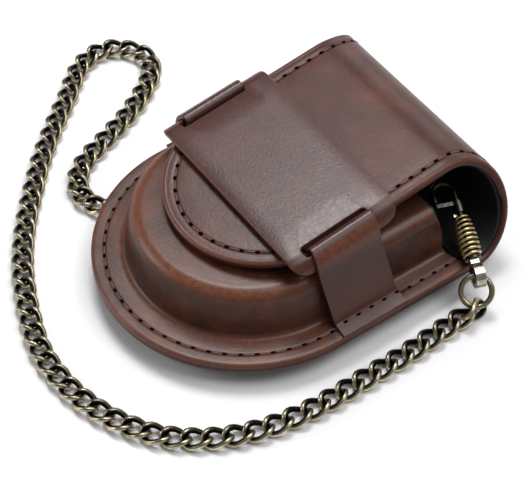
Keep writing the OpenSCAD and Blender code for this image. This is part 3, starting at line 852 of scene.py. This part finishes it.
def tab_shape(side):
    line = tab_line()
    outer, inner = [], []
    for i, (x, z, t, follow) in enumerate(line):
        a, b = line[max(i - 1, 0)], line[min(i + 1, len(line) - 1)]
        along = Vector((b[0] - a[0], 0, b[1] - a[1])).normalized()
        across = Vector((along.z, 0, -along.x)) * t / 2
        outer.append((Vector((x, 0, z)) + across, follow))
        inner.append((Vector((x, 0, z)) - across, follow))
    bm = bmesh.new()
    layer = bm.verts.layers.float.new("follow")
    verts = []
    for p, share in outer + inner[::-1]:
        v = bm.verts.new((p.x, -1, p.z))
        v[layer] = share
        verts.append(v)
    row = [bm.edges.new((verts[i - 1], verts[i])) for i in range(len(verts))]
    rows = 8
    for _ in range(rows):
        row = pull(bm, row, (0, 2 / rows, 0))
    bmesh.ops.holes_fill(bm, edges=[e for e in bm.edges if e.is_boundary], sides=0)
    bend_top = flap_top(TAB_Y) + BEND_Z
    for v in bm.verts:
        down = min(1, max(0, (bend_top - v.co.z) / (bend_top - FLANGE_Z)))
        out = min(1, max(0, (v.co.x - BEND_X) / (FLANGE_R - BEND_X)))
        half = (TAB_TOP_W + (TAB_FOOT_W - TAB_TOP_W) * out) / 2
        z = v.co.z + v[layer] * v.co.y * TAB_TOP_W / 2 * math.tan(TILT)
        v.co = Vector((v.co.x * side, TAB_Y + TAB_LEAN * down + v.co.y * half, z))
    bmesh.ops.recalc_face_normals(bm, faces=bm.faces)
    sides = [e for e in bm.edges if len(e.link_faces) == 2 and len([f for f in e.link_faces if len(f.verts) > 8]) == 1]
    bmesh.ops.bevel(
        bm, geom=sides, offset=0.17, offset_type="OFFSET", affect="EDGES", segments=2, profile=0.5, material=-1,
    )
    return bm


def tab_wear(p):
    x, z = abs(p[0]), p[2]
    bend_part = smooth(21.5, 24.5, z) * smooth(24.6, 26.2, x)
    return 0.3 * bend_part + 0.12 * smooth(28.5, 30.5, x) * (1 - smooth(31.5, 32.5, x))


for side, name in ((1, "right_tab"), (-1, "left_tab")):
    tab = finish_piece(name + "_strap", tab_shape(side), band_leather, [name], 20, tab_wear)
    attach(tab, "case")

# %% [markdown]
# The belt loop at the back is one strap, sewn at both ends and standing off between.

# %% Belt loop
LOOP_HALF = 15.0
LOOP_T = 1.6
LOOP_LINE = [
    (-31, BACK_Z), (-22.6, BACK_Z), (-21.6, BACK_Z - 0.3), (-18.8, LOOP_T + 0.3), (-17.8, LOOP_T),
    (15.8, LOOP_T), (16.8, LOOP_T + 0.3), (19.6, BACK_Z - 0.3), (20.6, BACK_Z), (29, BACK_Z),
]


def loop_shape():
    bm = bmesh.new()
    verts, row = chain_edges(bm, [(-LOOP_HALF, y, z) for y, z in LOOP_LINE])
    row = pull(bm, row, (LOOP_HALF * 2, 0, 0))
    bmesh.ops.recalc_face_normals(bm, faces=bm.faces)
    bmesh.ops.solidify(bm, geom=bm.faces[:], thickness=LOOP_T)
    bmesh.ops.recalc_face_normals(bm, faces=bm.faces)
    rims = [e for e in bm.edges if len(e.link_faces) == 2 and e.calc_face_angle(0) > 1.2]
    bmesh.ops.bevel(
        bm, geom=rims, offset=0.25, offset_type="OFFSET", affect="EDGES", segments=2, profile=0.5, material=-1,
    )
    return bm


belt_loop = finish_piece(
    "belt_loop_strap", loop_shape(), flap_leather, ["belt_loop"], 38,
    lambda p: 0.6 * smooth(LOOP_HALF - 0.5, LOOP_HALF, abs(p[0])),
)
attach(belt_loop, "case")

# %% [markdown]
# The chain is a curb chain: each link is an oval of wire, twisted so that the chain
# lies flat. A ring is spun, drawn out to an oval, and twisted about the chain's line.
# The links are set along the same route as in the CAD source, a little closer in bends.

# %% One link
LINK_A = 3.0
LINK_B = 2.05
LINK_WIRE = 1.4
LINK_TWIST = math.radians(-45)


def wire_ring(radius, wire, steps, sides, angle=2 * math.pi):
    """A ring of round wire in the XY plane."""
    bm = bmesh.new()
    place = Matrix.Translation((radius, 0, 0)) @ Matrix.Rotation(math.pi / 2, 4, "X")
    made = bmesh.ops.create_circle(bm, cap_ends=False, segments=sides, radius=wire / 2, matrix=place)
    full = angle > 6.2
    geom = made["verts"] + list({e for v in made["verts"] for e in v.link_edges})
    bmesh.ops.spin(
        bm, geom=geom, cent=(0, 0, 0), axis=(0, 0, 1), dvec=(0, 0, 0), angle=angle,
        steps=steps, use_merge=full, use_normal_flip=False, use_duplicate=False,
    )
    if not full:
        bmesh.ops.holes_fill(bm, edges=[e for e in bm.edges if e.is_boundary], sides=0)
    closed(bm)
    return bm


def squared(v):
    return math.copysign(abs(v) ** 0.9, v)


def link_point(p):
    """From a round ring of radius 2.5 to the twisted oval of a curb link."""
    a = math.atan2(p.y, p.x)
    out = math.hypot(p.x, p.y) - 2.5
    at = Vector((LINK_A * squared(math.cos(a)), LINK_B * squared(math.sin(a)), 0))
    side = Vector((LINK_B * math.cos(a), LINK_A * math.sin(a), 0)).normalized()
    flat = at + side * out
    twist = LINK_TWIST * flat.x / LINK_A
    c, s = math.cos(twist), math.sin(twist)
    return Vector((flat.x, flat.y * c - p.z * s, flat.y * s + p.z * c))


FILED_TOP = 1.3
link_bm = wire_ring(2.5, LINK_WIRE, 22, 8)
outside = [(math.hypot(v.co.x, v.co.y) - 2.5) * 2 / LINK_WIRE for v in link_bm.verts]
bend(link_bm, link_point)
# Painted light on each link: the outside is lighter, partly rubbed wear and partly painted reflection; the top is
# painted duller; the inside stays near black, partly patina and partly painted shade.
link_wear_and_light = [smooth(-0.1, 0.95, out) * (1 - 0.6 * smooth(0.3, 1.2, v.co.z)) for out, v in zip(outside, link_bm.verts)]
for v in link_bm.verts:
    v.co.z = min(v.co.z, FILED_TOP)
bmesh.ops.recalc_face_normals(link_bm, faces=link_bm.faces)
link_mesh = bpy.data.meshes.new("link")
link_bm.to_mesh(link_mesh)
link_bm.free()
print("faces in a link:", len(link_mesh.polygons))

# %% Route of the chain
LINK_PITCH = 4.5
ROUTE = [
    (42.2, 22.8), (42.2, 19), (42.6, 12), (43, 4), (43, -6), (43, -16), (42.4, -24), (40.5, -33), (36.5, -42),
    (30, -50), (20.5, -56), (9, -59.4), (-3, -59.6), (-14, -56.6), (-26, -51.4), (-36, -45.2), (-45, -38),
    (-54, -30), (-62, -21.5), (-68.5, -14), (-74.5, -7.5), (-77.2, -1), (-75.5, 5), (-69.5, 8.8), (-63.5, 7.2),
    (-58.5, 1.5), (-54, -6), (-50.5, -14), (-47, -22), (-42.5, -27), (-36.5, -28.4), (-31, -25.5), (-28, -18),
    (-27, -8), (-26.5, 4), (-26, 16), (-24.5, 27), (-19, 34.5), (-10, 38), (0, 38.5), (10, 38.5),
]
ROUTE_STEPS = 6
LINK_Z = 1.45


def bow(a, b, c, d, t):
    return 0.5 * (2 * b + (c - a) * t + (2 * a - 5 * b + 4 * c - d) * t * t + (3 * b - a - 3 * c + d) * t**3)


def route_end(i):
    return Vector(ROUTE[min(max(i, 0), len(ROUTE) - 1)])


curve = [
    bow(route_end(i - 1), route_end(i), route_end(i + 1), route_end(i + 2), k / ROUTE_STEPS)
    for i in range(len(ROUTE) - 1) for k in range(ROUTE_STEPS)
]
reach = [0.0]
for a, b in zip(curve, curve[1:]):
    reach.append(reach[-1] + (b - a).length)


def place_at(s):
    i = 0
    while i < len(reach) - 2 and reach[i + 1] <= s:
        i += 1
    t = (s - reach[i]) / (reach[i + 1] - reach[i])
    return curve[i] + (curve[i + 1] - curve[i]) * t


def way_at(s):
    return place_at(s + LINK_PITCH / 2) - place_at(s - LINK_PITCH / 2)


def bend_at(s):
    a, b = way_at(s - LINK_PITCH / 2), way_at(s + LINK_PITCH / 2)
    return math.degrees(math.asin(min(1, abs(a.x * b.y - a.y * b.x) / a.length / b.length)))


ways = [LINK_PITCH / 2]
while len(ways) < 79:
    s = ways[-1]
    ways.append(s + LINK_PITCH - min(0.3, 0.015 * bend_at(s + LINK_PITCH / 2)))
print("chain route:", round(reach[-1]), "mm, last link at", round(ways[-1]))

# %% Links in their places


def turned(rx, ry, rz):
    """The same turn as the CAD source's rotate: about X, then Y, then Z."""
    turns = [Matrix.Rotation(math.radians(a), 4, axis) for a, axis in ((rz, "Z"), (ry, "Y"), (rx, "X"))]
    return turns[0] @ turns[1] @ turns[2]


def link_place(i):
    if i == 0:
        return Matrix.Translation((43.1, 23.13, 2.78)) @ turned(-84.3, -8, -80)
    s = ways[i - 1]
    at, way = place_at(s), way_at(s)
    return Matrix.Translation((at.x, at.y, LINK_Z)) @ turned(0, 0, math.degrees(math.atan2(way.y, way.x)))


for n in range(8):
    bm = bmesh.new()
    rubs_and_light = []
    for i in range(n * 10, n * 10 + 10):
        before = len(bm.verts)
        bm.from_mesh(link_mesh)
        bm.verts.ensure_lookup_table()
        rubs_and_light += link_wear_and_light
        bmesh.ops.transform(bm, matrix=link_place(i), verts=bm.verts[before:])
    stretch = finish_piece(f"chain_{n + 1}_links", bm, chain_brass, [f"chain_{n + 1}"], 80)
    stretch.data.attributes["wear_and_light"].data.foreach_set("value", rubs_and_light)
    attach(stretch, "case")

# %% [markdown]
# The jump ring is a ring of wire with a cut in it. The last link carries a plain ring.

# %% Jump ring and end ring
RING_AT = (40.78, 25.46, 5.58)
ring_bm = wire_ring(3.4, 1.3, 44, 12, math.radians(356))
bmesh.ops.rotate(ring_bm, cent=(0, 0, 0), matrix=Matrix.Rotation(math.radians(150), 3, "Z"), verts=ring_bm.verts)
bmesh.ops.transform(ring_bm, matrix=Matrix.Translation(RING_AT) @ turned(0, 42.3, -41.2), verts=ring_bm.verts)
jump_ring = finish_piece("jump_ring_wire", ring_bm, chain_brass, ["jump_ring"], 50, lambda p: 0.35)
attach(jump_ring, "case")

last = place_at(ways[-1])
last_way = way_at(ways[-1]).normalized()
end_bm = wire_ring(2.4, 1.0, 30, 10)
end_at = Matrix.Translation((last.x + 4 * last_way.x, last.y + 4 * last_way.y, LINK_Z))
end_turn = turned(20, 0, math.degrees(math.atan2(last_way.y, last_way.x)))
bmesh.ops.transform(end_bm, matrix=end_at @ end_turn, verts=end_bm.verts)
end_ring = finish_piece("end_ring_wire", end_bm, chain_brass, ["end_ring"], 50, lambda p: 0.6)
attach(end_ring, "case")

# %% [markdown]
# The hook is closed by a sleeve that a beehive spring pushes against its nose. Its
# pieces share one axis, from the swivel's eye to the bend.

# %% Hook
EYE_AT = (39.0, 27.1, 8.2)
ON_HOOK = Matrix.Translation(EYE_AT) @ turned(0, -20, 158.4)


def swivel_finish():
    """Steel, with brass plating left on the eye."""
    finish, nodes, links, shader = new_finish("swivel_steel", 0.2, 1.0)
    away = nodes.new("ShaderNodeVectorMath")
    away.operation = "DISTANCE"
    away.inputs[1].default_value = [c * MM for c in EYE_AT]
    links.new(object_point(nodes), away.inputs[0])
    patches = spread(nodes, links, noise(nodes, links, 420, 4, 0.65), 0.35, 0.7)
    steel = blend_colors(nodes, links, patches, (0.42, 0.41, 0.38), (0.72, 0.70, 0.65))
    brass = blend_colors(nodes, links, patches, (0.16, 0.12, 0.055), (0.62, 0.50, 0.26))
    on_shank = spread(nodes, links, away.outputs["Value"], 2.2 * MM, 3.2 * MM)
    links.new(blend_colors(nodes, links, on_shank, brass, steel), shader.inputs["Base Color"])
    return finish


for node, finish in (("hook_swivel", swivel_finish()), ("hook", hook_in_shade), ("hook_keeper", sleeve_steel_in_shade)):
    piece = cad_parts[node]
    piece.data.materials.clear()
    piece.data.materials.append(finish)

COIL_WIRE = 0.7
COIL_TURNS = 9
SEAT_X = 4.2
SLEEVE_X = 14.95
COIL_START = SEAT_X + COIL_WIRE / 2 + 0.02
COIL_END = SLEEVE_X - COIL_WIRE / 2 - 0.02
COIL_STEPS = 22


def coil_radius(s):
    if s < 0.4:
        return 2.1 - 0.2 * ((0.4 - s) / 0.4) ** 2
    return 2.1 - 0.9 * ((s - 0.4) / 0.6) ** 2


def spring_shape():
    bm = bmesh.new()
    place = Matrix.Translation((0, 5, 0))
    made = bmesh.ops.create_circle(bm, cap_ends=False, segments=8, radius=COIL_WIRE / 2, matrix=place)
    length = COIL_END - COIL_START
    geom = made["verts"] + list({e for v in made["verts"] for e in v.link_edges})
    count = COIL_TURNS * COIL_STEPS
    bmesh.ops.spin(
        bm, geom=geom, cent=(0, 0, 0), axis=(1, 0, 0), dvec=(length / count, 0, 0),
        angle=2 * math.pi * COIL_TURNS, steps=count, use_merge=False, use_normal_flip=False, use_duplicate=False,
    )
    bmesh.ops.holes_fill(bm, edges=[e for e in bm.edges if e.is_boundary], sides=0)
    for v in bm.verts:
        s = min(1, max(0, v.co.x / length))
        r = math.hypot(v.co.y, v.co.z)
        grown = (r - 5 + coil_radius(s)) / r
        v.co = Vector((v.co.x + COIL_START, v.co.y * grown, v.co.z * grown))
    bmesh.ops.recalc_face_normals(bm, faces=bm.faces)
    return bm


spring_bm = spring_shape()
bmesh.ops.transform(spring_bm, matrix=ON_HOOK, verts=spring_bm.verts)
spring = finish_piece("spring_wire", spring_bm, hook_brass, ["hook_spring"], 60, lambda p: 1.0)
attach(spring, "hook")
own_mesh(spring)

# %% Lining inside the pocket
for node in ("back_lining", "pocket_lining"):
    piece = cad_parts[node]
    piece.data.materials.clear()
    piece.data.materials.append(lining_cloth)

# %% [markdown]
# The pouch lies on a plain white table, in soft light from a large window behind it and
# from white walls all round.

# %% Table and light
table_bm = bmesh.new()
bmesh.ops.create_grid(table_bm, x_segments=1, y_segments=1, size=4000, matrix=Matrix.Translation((0, 0, -0.1)))
table_white, nodes, links, shader = new_finish("table_white", 0.7, 0.0, (0.66, 0.66, 0.665))
shader.inputs["Specular IOR Level"].default_value = 0.1
links.new(spread(nodes, links, noise(nodes, links, 900), 0.3, 0.7, 0.65, 0.75), shader.inputs["Roughness"])
table = finish_piece("table", table_bm, table_white)

world = bpy.data.worlds.new("white_room")
world.use_nodes = True
world.node_tree.nodes["Background"].inputs["Color"].default_value = (0.94, 0.965, 1.0, 1)
world.node_tree.nodes["Background"].inputs["Strength"].default_value = 0.32
bpy.context.scene.world = world
bpy.context.scene.view_settings.view_transform = "Standard"


def area_light(name, at, size, power, aim=(0, 0, 0.01)):
    light = bpy.data.lights.new(name, "AREA")
    light.shape = "SQUARE"
    light.size = size
    light.energy = power
    lamp = bpy.data.objects.new(name, light)
    bpy.context.scene.collection.objects.link(lamp)
    lamp.location = at
    lamp.rotation_euler = (Vector(aim) - Vector(at)).to_track_quat("-Z", "Y").to_euler()
    return lamp


area_light("window", (-0.36, 0.20, 0.96), 0.34, 8.0)
area_light("back_wall", (-0.60, 0.80, 0.42), 0.5, 2.2)
area_light("ceiling", (0.88, 1.25, 3.0), 2.25, 75.0)
area_light("side_wall", (-0.60, -0.70, 0.42), 0.4, 3.5)
print("lights placed")

# %% Finish
for node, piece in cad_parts.items():
    if not piece.hide_render:
        print("shown CAD node:", node)
